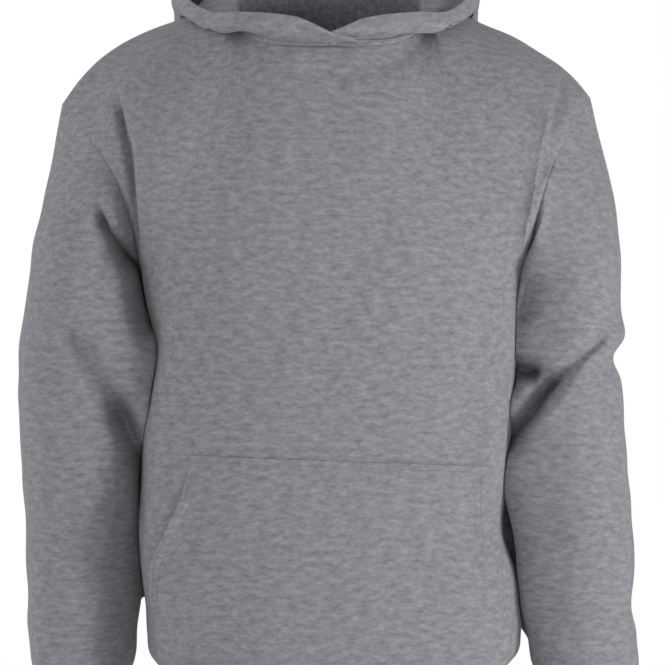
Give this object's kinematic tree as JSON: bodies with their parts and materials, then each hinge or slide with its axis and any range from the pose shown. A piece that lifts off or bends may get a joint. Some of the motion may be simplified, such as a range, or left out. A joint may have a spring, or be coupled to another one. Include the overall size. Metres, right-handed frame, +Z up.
{
  "type": "pullover hoodie",
  "caption": "Heather-grey fleece pullover hoodie in worn form, hood down and crossed at the throat, kangaroo pocket, ribbed cuffs and hem.",
  "frame": {"origin": "the middle of the neck where the shoulders carry the garment, 21 mm below the shoulder seams' neck ends", "axes": "+Z up, -Y the way the wearer faces, +X the wearer's left"},
  "size_m": [0.629, 0.3245, 0.7862],
  "materials": {
    "fleece": "brushed heather-grey fleece",
    "rib_knit": "ribbed heather-grey knit"
  },
  "bodies": {
    "root": {"front_panel": "fleece", "back_panel": "fleece", "sleeve_right": "fleece", "sleeve_left": "fleece", "hood_right": "fleece", "hood_left": "fleece", "pocket": "fleece", "hem_band": "rib_knit", "cuff_right": "rib_knit", "cuff_left": "rib_knit"}
  },
  "joints": []
}
